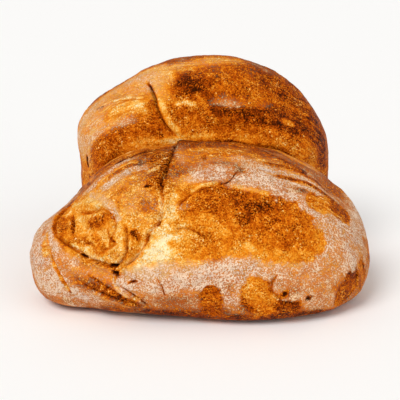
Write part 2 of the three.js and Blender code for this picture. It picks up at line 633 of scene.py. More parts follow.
# %% Swellings and hollows of the upper roll
swell_all((
    (3.0, 28, [(64, 106), (84, 106)]),
    (1.6, 15, [(-10, 158), (0, 156)]),
    (1.4, 11, [(14, 132), (40, 131), (60, 129)]),
    (-1.0, 9, [(10, 143), (30, 145), (50, 141)]),
    (-1.4, 12, [(-16, 128), (10, 122), (30, 120)]),
    (2.2, 10, [(-74, 138), (-60, 140), (-46, 138)]),
    (-1.6, 7, [(-94, 120), (-78, 128), (-60, 131), (-40, 133)]),
    (1.6, 11, [(-86, 102), (-68, 114), (-42, 123)]),
    (-1.4, 7, [(-78, 92), (-60, 104), (-40, 112)]),
    (1.2, 9, [(-58, 160), (-48, 166), (-40, 168)]),
    (-1.2, 8, [(-96, 132), (-80, 148), (-70, 153)]),
))

# %% Swellings and hollows of the lower roll
swell_all((
    (1.3, 7, [(-12, 104), (20, 107), (50, 100), (78, 84)]),
    (-1.0, 9, [(-8, 92), (20, 94), (50, 87), (76, 73)]),
    (1.8, 34, [(10, 48), (40, 46), (70, 38)]),
    (-1.5, 13, [(-44, 14), (-30, 34), (-16, 48)]),
    (1.2, 10, [(-24, 68), (-10, 72), (6, 78)]),
    (1.0, 10, [(-40, 2), (0, 6), (30, 8)]),
    (1.8, 13, [(-36, 96), (-34, 82)]),
    (-1.4, 12, [(-50, 70), (-40, 58)]),
    (1.6, 15, [(-66, 60), (-54, 66)]),
    (1.0, 4.5, [(-87, 64), (-72, 78), (-60, 86), (-50, 88)]),
    (1.0, 4.5, [(-82, 76), (-70, 86), (-58, 93)]),
    (-0.9, 3.5, [(-84, 71), (-71, 82), (-58, 90)]),
    (-1.8, 10, [(-70, 54), (-60, 50), (-52, 44)]),
    (1.4, 9, [(-46, 48), (-38, 44)]),
))

# %% Swellings and hollows of the rolled end and the foot
swell_all((
    (-1.8, 26, [(-94, 46), (-78, 36)]),
    (2.6, 8, [(-84, 45), (-70, 49)]),
    (1.6, 8, [(-105, 48), (-104, 38)]),
    (1.6, 7, [(-100, 29), (-88, 30)]),
    (1.2, 7, [(-67, 38), (-64, 24)]),
    (2.2, 6, [(-98, 57), (-84, 59), (-72, 56)]),
    (-1.6, 5, [(-88, 39), (-76, 39), (-67, 42)]),
    (1.2, 6, [(-84, 34), (-74, 30)]),
    (-1.0, 4, [(-94, 36), (-92, 48)]),
    (3.2, 6, [(-49, 36), (-50, 26), (-56, 16)]),
    (1.4, 9, [(-112, 44), (-110, 26), (-100, 10), (-84, 2)]),
    (1.6, 6, [(-94, 8), (-74, -2), (-56, -12)]),
    (1.4, 5, [(-80, -8), (-66, -15), (-54, -20)]),
    (-1.2, 6, [(-56, 4), (-46, -2)]),
    (1.4, 6, [(-63, 2), (-57, -2), (-50, -4)]),
))

# %% [markdown]
# ## Bald patches
# Here and there, mostly low on the loaf, the floury skin stuck to the basket and came off. Such a patch is
# smooth, brown and round, with a low ragged step about it. Colour alone would leave it looking printed
# on, so the skin is lowered there too, by less than a millimetre.

# %% Bald patches, where the floury skin came off
SKIN_THICKNESS = 0.9
bald_front = ((8.5, [(8, -10), (8, -18)], "front"), (12.5, [(42, -9), (46, -14)], "front"),
              (10, [(116, -3), (112, -10)], "front"), (7.5, [(86, 61), (100, 58), (114, 51)], "front"))
bald_elsewhere = ((11, [(-40, -6), (-28, -10)], "back"), (8, [(70, 4), (66, -4)], "back"),
                  (10, [(70, 20), (64, 34)], "right"), (8, [(-82, 12), (-78, 4)], "right"),
                  (9, [(-70, 30), (-64, 16)], "left"), (7, [(30, 2), (38, -2)], "left"))
for width, places, side in bald_front + bald_elsewhere:
    peel(SKIN_THICKNESS, width, places, side)
print(len(bald_front + bald_elsewhere), "bald patches")

# %% [markdown]
# ## Bake, flour and open crumb
# Five coats tell the finish what the crust is like at each place. The bake runs from 0, pale dough that
# the heat hardly reached, to 1, nearly burnt. The flour is what was left of the dusting: it lies where
# the dough was rolled on the table and splits into islands as the loaf swells. The gap is painted shade,
# the dark inside a fold or a crack. The wrinkle says how strongly the skin was pulled into ridges, and torn
# is where the dough has no skin. A coat could be a painted sheet wrapped round the loaf, but this shape has
# no seam to cut it along. So each coat is a number on every corner of the net, brushed on along paths as a
# painter would. Where strokes cross, the later one lies on top.

# %% The brush
SOFT_EDGE = 0.9
coats = {}
stray_of_edges = lumps(rest, 24, 26, 3)


def brush(coat, level, width, places, side="front", strength=1.0, edge=0.5, stray=0.0):
    """Moves a coat towards a level along a path. The edge is soft at 1 and crisp near 0. It is always a
    little ragged, and it strays from a stroke's even width by the given share as well."""
    path = path_on_crust(places, side)
    near, gap, _, _, _ = gap_to_path(rest, path, width * (1 + edge + RAGGED + stray))
    uneven = gap + width * (RAGGED * roughness_of_edges[near] + stray * stray_of_edges[near])
    share = strength * fade((uneven - width * (1 - edge)) / (2 * edge * width))
    coats[coat][near] += (level - coats[coat][near]) * share


def brush_bake(strokes):
    """Brushes on a list of strokes of bake, each given by its level, width, strength and places."""
    for level, width, strength, places in strokes:
        brush("bake", level, width, places, strength=strength)
    print(len(strokes), "strokes of bake")


# %% [markdown]
# ## The first coats
# Before any stroke, a few rules that hold all over a loaf lay down a base. Whatever faces up browns
# most, the foot browns on the hot stone, the crease stays pale and sheltered, and both the bake and the
# flour are cloudy. The sides that nobody painted would look dull and even without this.

# %% Noises and distances that the coats share
broad = lumps(rest, 45, 11)
patchy = lumps(rest, 16, 12, 3)
fine = lumps(rest, 5.5, 13, 2)
height = rest[:, 2]
facing_up = outward[:, 2]
_, crease_gap, crease_along, _, _ = gap_to_path(rest, crease, FAR)
crease_along *= length_of(crease)
print("the crust is at most", round(float(crease_gap.max())), "mm from the crease")

# %% The first coats: what heat and flour do on every side
PLAIN_BAKE = 0.52
PLAIN_FLOUR = 0.34
PLAIN_WRINKLE = 0.30
SHELTER_OF_BAKE = 34
SHELTER_OF_FLOUR = 30
BARE_REACH = 12
STONE_HEIGHT = 12
flour_clouds = lumps(rest * (1, 1, 1.7), 38, 14, 3)

coats["bake"] = PLAIN_BAKE + 0.12 * broad + 0.14 * patchy + 0.10 * facing_up
coats["bake"] -= 0.30 * fade(crease_gap / SHELTER_OF_BAKE)
coats["bake"] += 0.16 * fade((height - 2) / STONE_HEIGHT)
coats["flour"] = PLAIN_FLOUR + 0.28 * flour_clouds + 0.12 * patchy
coats["flour"] -= 0.25 * fade(crease_gap / SHELTER_OF_FLOUR)
coats["gap"] = np.zeros(len(rest))
coats["wrinkle"] = PLAIN_WRINKLE + 0.35 * lumps(rest, 34, 17)
coats["torn"] = 0.35 * fade(crease_gap / BARE_REACH)
print("the coats are", list(coats))

# %% [markdown]
# ## The back and both ends
# These sides come before the front, whose strokes may reach round onto them. They carry on what the front
# shows: brown shoulders, a pale tear that opened in the oven, islands of flour between, and a foot that
# is darker along the stone. Their edges stray far from a stroke's even width, so they don't look brushed.

# %% Bake and flour on the back and both ends
side_strokes = (
    ("bake", 0.54, 62, 0.7, "back", [(-50, 60), (50, 60)]),
    ("bake", 0.68, 26, 0.9, "back", [(-34, 88), (10, 92), (40, 84)]),
    ("bake", 0.86, 8, 0.9, "back", [(-14, 98), (14, 94)]),
    ("bake", 0.80, 7, 0.8, "back", [(44, 82), (56, 72)]),
    ("bake", 0.32, 13, 0.8, "back", [(-60, 40), (-6, 44), (56, 40)]),
    ("bake", 0.20, 5, 1.0, "back", [(-56, 42), (-36, 50), (-6, 46)]),
    ("bake", 0.14, 3, 1.0, "back", [(6, 48), (24, 50), (50, 44)]),
    ("bake", 0.40, 14, 0.8, "back", [(-50, 12), (-20, 6)]),
    ("bake", 0.62, 12, 0.8, "back", [(-96, 60), (-80, 96)]),
    ("bake", 0.80, 6, 0.9, "back", [(-90, -22), (0, -27), (90, -22)]),
    ("flour", 0.12, 64, 0.8, "back", [(-50, 60), (50, 60)]),
    ("flour", 0.84, 15, 1.0, "back", [(-84, 16), (-78, 54)]),
    ("flour", 0.84, 12, 1.0, "back", [(-56, 100), (-30, 116), (14, 124)]),
    ("flour", 0.78, 14, 1.0, "back", [(66, 86), (80, 62), (86, 36)]),
    ("flour", 0.80, 12, 1.0, "back", [(-44, 6), (-14, 18), (20, 18)]),
    ("flour", 0.70, 9, 1.0, "back", [(46, 22), (66, 16)]),
    ("flour", 0.02, 19, 1.0, "back", [(-26, 84), (10, 86), (36, 78)]),
    ("flour", 0.02, 7, 1.0, "back", [(-58, 41), (-36, 50), (-6, 46), (24, 50), (52, 43)]),
    ("bake", 0.64, 22, 0.8, "left", [(-92, 56), (-76, 92)]),
    ("bake", 0.82, 8, 0.8, "left", [(-84, 84), (-72, 98)]),
    ("bake", 0.38, 13, 0.8, "left", [(-18, 40), (-10, 4)]),
    ("bake", 0.52, 20, 0.8, "left", [(30, 40), (60, 50)]),
    ("bake", 0.70, 8, 0.8, "left", [(24, 58), (44, 62)]),
    ("flour", 0.12, 24, 0.8, "left", [(-88, 58), (-74, 86)]),
    ("flour", 0.84, 10, 1.0, "left", [(-100, 6), (-94, 40)]),
    ("flour", 0.80, 9, 1.0, "left", [(-60, 56), (-52, 32), (-48, 4)]),
    ("flour", 0.90, 12, 1.0, "left", [(12, -2), (36, 14), (64, 20), (90, 14)]),
    ("bake", 0.66, 24, 0.8, "right", [(50, 130), (80, 110), (96, 80)]),
    ("bake", 0.82, 9, 0.8, "right", [(66, 118), (82, 104)]),
    ("bake", 0.38, 13, 0.8, "right", [(16, 80), (12, 40)]),
    ("bake", 0.56, 20, 0.8, "right", [(-70, 80), (-40, 92)]),
    ("flour", 0.10, 24, 0.8, "right", [(50, 128), (84, 104)]),
    ("flour", 0.04, 13, 0.9, "right", [(34, 70), (40, 96), (44, 124)]),
    ("flour", 0.82, 11, 1.0, "right", [(72, 86), (92, 62), (100, 30)]),
    ("flour", 0.76, 11, 1.0, "right", [(36, 22), (50, 44), (56, 56)]),
    ("flour", 0.90, 12, 1.0, "right", [(-20, 40), (-50, 46), (-80, 36)]),
    ("flour", 0.80, 8, 1.0, "right", [(-30, -4), (0, 0)]),
)
for coat, level, width, strength, side, places in side_strokes:
    brush(coat, level, width, places, side, strength, edge=0.7, stray=2.0)
print(len(side_strokes), "strokes on the back and the ends")

# %% The bald patches of the back and both ends
BALD_BAKE = 0.46
NO_FLOUR = 0.02
for width, places, side in bald_elsewhere:
    brush("bake", BALD_BAKE, width, places, side)
    brush("flour", NO_FLOUR, width, places, side, edge=0.15)
print(len(bald_elsewhere), "patches are bare")

# %% [markdown]
# ## The bake of the front
# The front is brushed the way a painter works: wide strokes first, for the colour of a whole shoulder,
# then its dark crests and pale hollows, and thin lines last, for an edge that burnt or a split that shows
# pale dough. Each stroke has a level, a width to either side in millimetres, a strength and its places.

# %% The bake of the upper roll
brush_bake((
    (0.60, 40, 0.9, [(-16, 150), (40, 150), (70, 135)]),
    (0.28, 8, 0.9, [(-56, 164), (-40, 170), (-20, 174), (0, 180), (30, 180)]),
    (0.30, 11, 0.9, [(-34, 166), (-29, 152), (-24, 138)]),
    (0.55, 14, 0.8, [(22, 164), (40, 160)]),
    (0.70, 10, 0.9, [(56, 166), (76, 150), (92, 134)]),
    (0.70, 11, 1.0, [(-14, 156), (2, 155)]),
    (0.92, 7, 0.9, [(-11, 159), (-4, 156)]),
    (0.56, 8, 0.9, [(-22, 134), (-6, 135)]),
    (0.50, 9, 0.8, [(20, 142), (40, 141), (56, 142)]),
    (0.86, 6.5, 1.0, [(14, 134), (26, 131), (42, 132), (58, 129)]),
    (0.80, 10, 0.9, [(64, 132), (80, 124), (90, 116)]),
    (0.90, 4, 0.8, [(80, 121), (90, 116)]),
    (0.78, 9, 0.9, [(98, 128), (103, 110), (104, 96)]),
    (0.58, 6, 0.9, [(-18, 123), (14, 124), (40, 121)]),
    (0.44, 6, 0.8, [(-16, 124), (-4, 124)]),
    (0.50, 6, 0.8, [(46, 118), (66, 114)]),
    (0.22, 3.6, 1.0, [(-14, 113), (2, 114), (10, 114)]),
    (0.46, 5, 1.0, [(16, 114), (28, 114), (42, 112)]),
    (0.42, 7, 1.0, [(48, 109), (62, 106), (76, 102)]),
    (0.42, 9, 0.9, [(84, 106), (94, 98)]),
    (0.38, 6, 0.9, [(88, 90), (100, 85)]),
    (0.30, 3.5, 0.9, [(34, 111), (50, 106), (66, 100), (80, 92), (92, 86)]),
    (0.20, 2.6, 1.0, [(-44, 160), (-36, 150), (-31, 138), (-25, 126), (-18, 117)]),
    (0.10, 2.2, 0.9, [(-20, 142), (-13, 143), (-5, 141)]),
    (0.28, 1.6, 0.7, [(-3, 150), (3, 141), (8, 133), (12, 127)]),
    (0.30, 2.8, 0.8, [(71, 128), (77, 126)]),
    (0.36, 1.6, 0.7, [(64, 147), (78, 143), (92, 135)]),
))

# %% The bake of the upper roll's left shoulder
brush_bake((
    (0.24, 22, 0.9, [(-102, 108), (-92, 132), (-70, 150), (-44, 164)]),
    (0.34, 17, 0.8, [(-90, 116), (-80, 132), (-60, 146)]),
    (0.24, 8, 1.0, [(-72, 138), (-58, 140), (-48, 138)]),
    (0.10, 3.5, 0.8, [(-54, 142), (-50, 140)]),
    (0.12, 1.3, 0.9, [(-90, 138), (-78, 144), (-62, 147), (-48, 147)]),
    (0.72, 1.2, 0.8, [(-89, 139), (-82, 140)]),
    (0.50, 4, 0.8, [(-42, 140), (-38, 134)]),
    (0.24, 1.8, 0.8, [(-97, 108), (-90, 120), (-78, 128), (-64, 133)]),
    (0.55, 9, 1.0, [(-90, 92), (-84, 104), (-70, 115), (-54, 122), (-38, 124)]),
    (0.55, 7, 0.8, [(-82, 96), (-68, 102)]),
    (0.60, 6, 0.8, [(-56, 116), (-36, 116)]),
    (0.26, 6, 0.9, [(-74, 92), (-60, 102), (-42, 110)]),
    (0.20, 3, 1.0, [(-62, 99), (-48, 105), (-30, 110), (-19, 112)]),
    (0.06, 3, 0.9, [(-30, 109), (-19, 110)]),
    (0.34, 8, 0.9, [(-97, 86), (-88, 78)]),
    # The next stroke darkens a torn hole: painted shade in it.
    (0.86, 1.8, 1.0, [(-99, 98), (-99, 90)]),
    (0.74, 1.6, 0.9, [(-99, 81), (-93, 78), (-88, 74)]),
    (0.70, 1.3, 0.9, [(-94, 84), (-89, 80)]),
    (0.80, 1.2, 0.9, [(-84, 83), (-83, 82)]),
))

# %% The bake of the lower roll's left shoulder
brush_bake((
    (0.30, 22, 1.0, [(-74, 60), (-56, 66), (-44, 52)]),
    (0.46, 6, 0.8, [(-84, 76), (-66, 91), (-50, 99)]),
    (0.20, 2.2, 1.0, [(-80, 75), (-70, 83), (-58, 90), (-51, 92)]),
    (0.50, 6, 0.9, [(-50, 96), (-42, 98)]),
    (0.50, 10, 1.0, [(-36, 98), (-28, 92), (-32, 82)]),
    (0.72, 3.5, 0.9, [(-22, 101), (-25, 90), (-29, 77)]),
    (0.92, 1.5, 0.9, [(-66, 91), (-54, 97), (-42, 101), (-18, 105)]),
    (0.12, 2.4, 0.9, [(-40, 84), (-33, 86)]),
    # The next stroke darkens a torn hole: painted shade in it.
    (0.80, 1.3, 0.9, [(-42, 73), (-38, 73)]),
    (0.50, 7, 0.9, [(-41, 59), (-33, 56)]),
    (0.06, 1.4, 1.0, [(-32, 68), (-30, 60), (-30, 53)]),
    (0.10, 1.2, 0.9, [(-46, 50), (-38, 51), (-33, 48)]),
    (0.10, 1.4, 0.9, [(-60, 56), (-52, 50), (-46, 42)]),
    (0.28, 8, 0.9, [(-58, 46), (-46, 44), (-36, 44)]),
    (0.50, 3, 0.6, [(-68, 64), (-58, 70)]),
    (0.52, 2.5, 0.6, [(-70, 54), (-62, 58)]),
    (0.72, 1.5, 0.9, [(-34, 45), (-33, 42)]),
    # The next two strokes darken torn holes: painted shade in them.
    (0.80, 1.5, 0.9, [(-29, 47), (-31, 43)]),
    (0.76, 1.4, 0.9, [(-39, 36), (-40, 30)]),
))

# %% The bake of the lower roll's big front
brush_bake((
    (0.43, 12, 1.0, [(-10, 96), (25, 98), (50, 92), (80, 76)]),
    (0.78, 3, 0.9, [(-15, 106), (3, 107), (24, 109), (39, 106), (60, 96), (80, 84)]),
    (0.93, 3.5, 1.0, [(-15, 107), (-2, 108)]),
    (0.82, 2.5, 0.7, [(22, 109), (38, 107)]),
    (0.85, 1.6, 0.9, [(2, 96), (3, 94)]),
    (0.32, 8, 1.0, [(-24, 70), (-14, 74), (-6, 76)]),
    (0.12, 1.8, 0.9, [(-6, 68), (0, 72), (12, 74)]),
    (0.14, 12, 1.0, [(-20, 48), (-10, 48), (0, 44)]),
    (0.44, 28, 1.0, [(12, 40), (40, 38), (70, 36), (84, 34)]),
    (0.50, 7, 0.9, [(-12, 54), (-2, 58), (6, 64)]),
    (0.54, 12, 1.0, [(14, 62), (30, 62), (46, 56), (62, 54)]),
    (0.70, 6, 0.8, [(26, 68), (34, 56), (34, 46)]),
    (0.82, 5, 0.9, [(38, 55), (48, 57)]),
    (0.56, 5, 0.8, [(10, 54), (18, 50)]),
    (0.26, 5, 0.8, [(2, 48), (10, 42), (16, 38)]),
    (0.22, 2, 0.9, [(24, 73), (38, 70), (50, 67)]),
    (0.52, 7, 0.7, [(54, 44), (72, 40)]),
    (0.56, 6, 0.7, [(56, 26), (72, 28)]),
    (0.32, 5, 0.9, [(88, 40), (91, 28)]),
    (0.30, 7, 0.9, [(20, 24), (36, 22), (52, 18), (80, 18)]),
    (0.12, 2.6, 0.8, [(34, 29), (38, 27)]),
    (0.40, 8, 0.9, [(-20, 26), (-6, 24), (8, 26)]),
    (0.09, 16, 0.8, [(-42, 18), (-34, 26), (-24, 38)]),
    (-0.06, 7, 0.9, [(-40, 13), (-32, 22), (-24, 35)]),
    (0.36, 3, 0.7, [(-22, 30), (-14, 27)]),
    (0.38, 2.5, 0.7, [(-20, 44), (-12, 50)]),
    (0.14, 6, 0.7, [(-26, 44), (-23, 54), (-22, 62)]),
    (0.16, 2.5, 0.7, [(-24, 38), (-12, 38), (-4, 36)]),
    (0.16, 7, 0.7, [(-42, 9), (-24, 12), (-4, 14)]),
))

# %% The bake of the rolled end
brush_bake((
    (0.20, 27, 1.0, [(-94, 46), (-76, 34)]),
    (0.38, 10, 0.8, [(-108, 48), (-104, 36)]),
    (0.17, 4.5, 1.0, [(-93, 59), (-82, 58), (-72, 54)]),
    (0.30, 1.2, 0.8, [(-94, 57), (-82, 56), (-72, 52)]),
    (0.56, 4, 0.9, [(-106, 46), (-105, 38)]),
    (0.62, 1.4, 0.9, [(-100, 50), (-99, 43), (-98, 37)]),
    (0.46, 5, 0.9, [(-98, 31), (-89, 31)]),
    (0.54, 4.5, 1.0, [(-86, 43), (-77, 46), (-69, 50)]),
    (0.14, 3, 0.8, [(-95, 48), (-90, 44), (-86, 38)]),
    (0.16, 2.5, 0.8, [(-66, 44), (-63, 34), (-62, 26)]),
    (0.46, 2.5, 0.8, [(-82, 36), (-74, 28)]),
    (0.12, 1.2, 0.9, [(-104, 48), (-101, 54), (-94, 59)]),
    (0.14, 1.2, 0.6, [(-86, 53), (-78, 55), (-70, 53)]),
    (0.12, 1.2, 0.9, [(-62, 42), (-59, 32), (-60, 24)]),
    (0.12, 1.2, 0.9, [(-98, 28), (-90, 25), (-82, 22)]),
    (0.50, 1.0, 0.6, [(-95, 54), (-86, 53), (-78, 53)]),
    (0.46, 1.4, 0.7, [(-90, 33), (-80, 26), (-72, 26)]),
    (0.52, 1.0, 0.8, [(-72, 41), (-68, 34), (-68, 28)]),
    (0.72, 1.3, 0.9, [(-68, 33), (-65, 31)]),
    (0.13, 4.5, 1.0, [(-88, 23), (-78, 19), (-66, 17), (-59, 21)]),
    (0.30, 1.4, 0.8, [(-84, 24), (-76, 22), (-68, 21)]),
    (0.24, 1.8, 0.9, [(-82, 14), (-74, 11), (-66, 9)]),
    # The next three strokes darken torn holes: painted shade in them.
    (0.80, 1.2, 0.9, [(-90, 21), (-86, 19)]),
    (0.80, 1.3, 0.9, [(-67, 13), (-62, 12)]),
    (0.85, 1.8, 0.9, [(-65, 8), (-62, 6)]),
    (0.22, 4.5, 1.0, [(-48, 32), (-48, 24), (-56, 14)]),
    (0.44, 1.2, 0.8, [(-50, 32), (-50, 24), (-56, 16)]),
    (0.10, 1.4, 0.9, [(-44, 33), (-44, 25), (-50, 17)]),
    (0.80, 2.4, 1.0, [(-50, 38), (-47, 34)]),
))

# %% The bake along the foot and on the bald patches
brush_bake((
    (0.48, 7, 0.9, [(-108, 14), (-96, 6), (-86, -2)]),
    (0.38, 6, 0.9, [(-92, 12), (-80, 8), (-68, 4)]),
    (0.58, 6, 1.0, [(-92, 0), (-76, -5), (-60, -13), (-48, -19)]),
    (0.74, 2.2, 0.9, [(-64, -11), (-56, -15), (-47, -20)]),
    (0.30, 1.3, 1.0, [(-66, 2), (-62, -5), (-54, -11), (-46, -15)]),
    (0.32, 1.8, 1.0, [(-80, -9), (-68, -16), (-54, -22)]),
    (0.62, 4.5, 0.9, [(-124, -12), (-100, -18), (-70, -24), (-40, -26)]),
    (0.80, 5, 0.9, [(-40, -26), (-20, -27), (40, -28), (100, -24)]),
    (0.60, 8, 0.9, [(-26, -14), (-6, -17), (14, -24)]),
    (0.32, 3.5, 0.9, [(-122, 28), (-120, 20)]),
    (0.30, 1.5, 1.0, [(-120, 36), (-119, 28), (-116, 20), (-111, 10), (-106, 0), (-101, -9)]),
    (0.64, 1.6, 0.9, [(-127, 24), (-127, 20)]),
    (0.56, 9, 1.0, [(8, -8), (8, -18)]),
    (0.37, 14, 1.0, [(40, -7), (46, -14)]),
    (0.66, 4.5, 0.9, [(30, -17), (36, -20)]),
    (0.78, 5, 1.0, [(61, -18), (70, -18)]),
    (0.60, 11, 1.0, [(116, -2), (112, -10)]),
    (0.74, 3, 0.9, [(115, 4), (121, 3)]),
    (0.42, 8, 1.0, [(86, 62), (100, 59)]),
    (0.58, 6, 1.0, [(104, 56), (114, 51)]),
    (0.30, 2.5, 0.9, [(82, 59), (90, 56), (104, 50)]),
    (0.72, 4, 0.8, [(62, 72), (78, 69)]),
    (0.68, 1.8, 0.9, [(50, 92), (76, 84), (100, 70)]),
    (0.70, 1.8, 0.9, [(60, 82), (84, 74), (104, 62)]),
    (0.62, 1.6, 0.9, [(38, 93), (58, 88), (74, 78)]),
    (0.55, 2.2, 0.9, [(62, -8), (64, -8)]),
    (0.80, 1.8, 0.9, [(81, -12), (83, -12)]),
))

# %% [markdown]
# ## The flour of the front
# Flour clings where the dough lay in its basket and is gone where the dough tore, so its patches have
# clearer edges than the bake. Each stroke therefore gives how soft its edge is: near 1 it thins out, near
# 0 it stops short, as at the rim of the big bare oval.

# %% The flour that stayed on
flour_strokes = (
    (0.10, 40, 0.8, [(-90, 100), (-60, 130), (0, 145), (70, 130)]),
    (0.02, 10, 0.5, [(-80, 96), (-50, 108), (-20, 114), (30, 116), (80, 100)]),
    (0.66, 5, 0.6, [(-104, 102), (-104, 120), (-92, 140), (-76, 152), (-64, 159)]),
    (0.66, 15, 0.8, [(-100, 116), (-90, 136), (-70, 152), (-44, 164)]),
    (0.20, 7, 0.8, [(-78, 136), (-64, 142), (-46, 148)]),
    (0.74, 5, 0.8, [(-62, 158), (-44, 158)]),
    (0.50, 6, 0.8, [(-46, 168), (-36, 172)]),
    (0.58, 4.5, 0.9, [(-97, 96), (-96, 108), (-84, 119), (-70, 126), (-58, 129)]),
    (0.40, 9, 0.8, [(-94, 122), (-78, 146), (-56, 154)]),
    (0.32, 5, 0.7, [(-30, 174), (-8, 180), (30, 182)]),
    (0.30, 6, 0.8, [(-29, 146), (-24, 138)]),
    (0.05, 8, 0.8, [(-24, 138), (-18, 128), (-4, 134)]),
    (0.40, 6, 0.9, [(14, 143), (28, 141), (38, 137)]),
    (0.26, 6, 0.9, [(44, 140), (60, 138)]),
    (0.14, 6, 0.9, [(54, 168), (76, 152), (96, 130)]),
    (0.02, 12, 0.8, [(70, 120), (92, 112), (103, 104), (104, 92)]),
    (0.28, 24, 0.6, [(-80, 52), (-60, 66), (-42, 62), (-44, 44)]),
    (0.80, 4, 0.5, [(-90, 68), (-78, 79), (-64, 90), (-52, 97)]),
    (0.20, 2, 0.6, [(-80, 75), (-70, 83), (-58, 90), (-51, 92)]),
    (0.02, 4, 0.8, [(-66, 93), (-56, 98), (-40, 104), (-20, 107)]),
    (0.72, 3.4, 0.5, [(-78, 69), (-64, 79), (-52, 86), (-42, 88)]),
    (0.36, 4.5, 0.8, [(-41, 68), (-35, 65)]),
    (0.34, 6, 0.8, [(-74, 62), (-62, 54)]),
    (0.02, 27, 0.22, [(-92, 45), (-76, 35)]),
    (0.62, 3.2, 0.6, [(-84, 66), (-76, 63), (-68, 57), (-63, 48)]),
    (0.42, 3, 0.8, [(-86, 21), (-80, 18)]),
    (0.46, 3, 0.8, [(-66, 18), (-60, 20)]),
    (0.04, 9, 0.3, [(-50, 38), (-49, 24), (-58, 14)]),
    (0.95, 13, 0.4, [(-132, 36), (-128, 12), (-116, -4), (-98, -14)]),
    (0.78, 6, 0.6, [(-118, 50), (-110, 60), (-100, 65)]),
    (0.86, 6, 0.6, [(-119, 46), (-116, 30), (-108, 18), (-97, 13)]),
    (0.42, 7, 0.8, [(-104, 12), (-92, 6), (-74, 6)]),
    (0.30, 6, 0.7, [(-92, 0), (-74, -4), (-60, -9)]),
    (0.04, 2.4, 0.6, [(-80, -2), (-62, -11), (-48, -19)]),
    (0.02, 1.3, 0.7, [(-119, 36), (-117, 26), (-113, 16), (-106, 1), (-100, -9)]),
    (0.10, 3, 0.7, [(-122, 27), (-119, 21)]),
    (0.22, 8, 0.8, [(-8, 99), (25, 102), (50, 97)]),
    (0.02, 10, 0.7, [(-46, 100), (-32, 98), (-28, 88), (-30, 76)]),
    (0.36, 7, 0.9, [(-20, 82), (-8, 80)]),
    (0.92, 7.5, 0.8, [(-2, 81), (12, 82)]),
    (0.92, 9, 0.6, [(16, 82), (36, 82), (54, 76), (66, 68), (80, 58), (94, 50), (106, 42)]),
    (0.60, 5, 0.9, [(26, 93), (44, 91)]),
    (0.42, 4, 0.9, [(2, 92), (14, 93)]),
    (0.78, 11, 0.5, [(104, 40), (112, 28), (116, 12)]),
    (0.50, 8, 0.8, [(58, 86), (80, 76), (100, 68), (116, 58)]),
    (0.10, 1.8, 0.8, [(50, 92), (76, 84), (100, 70)]),
    (0.90, 1.6, 0.8, [(46, 88), (72, 81), (96, 69)]),
    (0.10, 1.8, 0.8, [(60, 82), (84, 74), (104, 62)]),
    (0.90, 1.6, 0.8, [(66, 77), (86, 69), (104, 58)]),
    (0.10, 7, 0.5, [(-26, 66), (-16, 66), (-8, 68), (6, 67), (12, 69)]),
    (0.64, 9, 0.6, [(97, 44), (99, 30), (92, 14)]),
    (0.70, 8, 0.6, [(20, 13), (50, 11), (84, 11)]),
    (0.02, 19, 0.1, [(8, 50), (30, 52), (56, 46), (74, 34)]),
    (0.02, 18, 0.13, [(-22, 40), (0, 32), (40, 34), (74, 31)]),
    (0.03, 12, 0.4, [(-44, 20), (-34, 26)]),
    (0.90, 12, 0.6, [(-50, -1), (-24, 1), (0, 4), (22, 6), (34, 8)]),
    (0.60, 10, 0.6, [(60, 4), (78, 4), (94, 6), (108, 14)]),
    (0.54, 10, 0.5, [(68, -6), (84, -10), (96, -14)]),
    (0.98, 3, 0.5, [(-63, 0), (-54, -3)]),
    (0.42, 8, 0.8, [(-42, -14), (-24, -16), (-4, -16)]),
    (0.80, 6, 0.5, [(22, -4), (23, -14)]),
    (0.50, 4, 0.7, [(-118, -14), (-100, -18), (-76, -23)]),
    (0.24, 4, 0.8, [(-72, -24), (-20, -27), (40, -28), (90, -26)]),
    (0.02, 8.5, 0.1, [(8, -10), (8, -18)]),
    (0.02, 12.5, 0.09, [(42, -9), (46, -14)]),
    (0.04, 6, 0.3, [(40, -20), (62, -19), (70, -18)]),
    (0.02, 10, 0.1, [(116, -3), (112, -10)]),
    (0.03, 7.5, 0.12, [(86, 61), (100, 58), (114, 51)]),
    (0.10, 2.4, 0.4, [(62, -8), (64, -8)]),
    (0.10, 2.0, 0.4, [(81, -12), (83, -12)]),
)
for level, width, edge, places in flour_strokes:
    brush("flour", level, width, places, edge=edge)
print(len(flour_strokes), "strokes of flour")

# %% Where the flour is uneven, and where the oven burnt it off
BURNT = 0.8
coats["flour"] *= 1 + 0.3 * lumps(rest, 19, 28, 3)
coats["flour"] *= 1 - 0.8 * fade((BURNT - coats["bake"]) / 0.2)
print("flour lies on", round(100 * float((coats["flour"] > 0.5).mean())), "% of the corners")

# %% [markdown]
# ## Wrinkles and torn places
# The skin of the dough was dragged along the rolls, which left fine ridges in some places and none in
# others. In the tears the crumb shows, rough and stringy. Neither can be told from the shape, so both are
# brushed on as well, softly, and the relief and the finish read them from there.

# %% The wrinkles, where the skin was pulled along the roll
wrinkle_strokes = (
    (0.10, 24, [(-20, 150), (10, 150), (50, 145)]),
    (0.60, 9, [(-30, 173), (0, 180), (40, 176), (66, 162), (88, 140), (101, 112)]),
    (0.80, 9, [(-98, 104), (-88, 130), (-66, 148)]),
    (0.05, 10, [(-80, 96), (-50, 112), (0, 117), (60, 106)]),
    (0.90, 8, [(-92, 68), (-76, 84), (-56, 96)]),
    (1.00, 8, [(-44, 100), (-30, 100), (-28, 84)]),
    (0.75, 9, [(0, 100), (30, 99), (52, 92)]),
    (1.00, 11, [(56, 88), (80, 72), (100, 54), (114, 34)]),
    (0.05, 26, [(-10, 40), (30, 45), (70, 38)]),
    (0.15, 24, [(-90, 46), (-76, 36)]),
    (0.90, 10, [(-132, 34), (-122, 8), (-100, -14)]),
    (0.90, 9, [(-92, 2), (-70, -8), (-50, -16)]),
    (0.30, 12, [(-30, 0), (30, -4), (90, -8)]),
    (0.90, 7, [(124, 26), (130, 4), (120, -14)]),
)
for level, width, places in wrinkle_strokes:
    brush("wrinkle", level, width, places, edge=SOFT_EDGE)
print(len(wrinkle_strokes), "strokes of wrinkles")

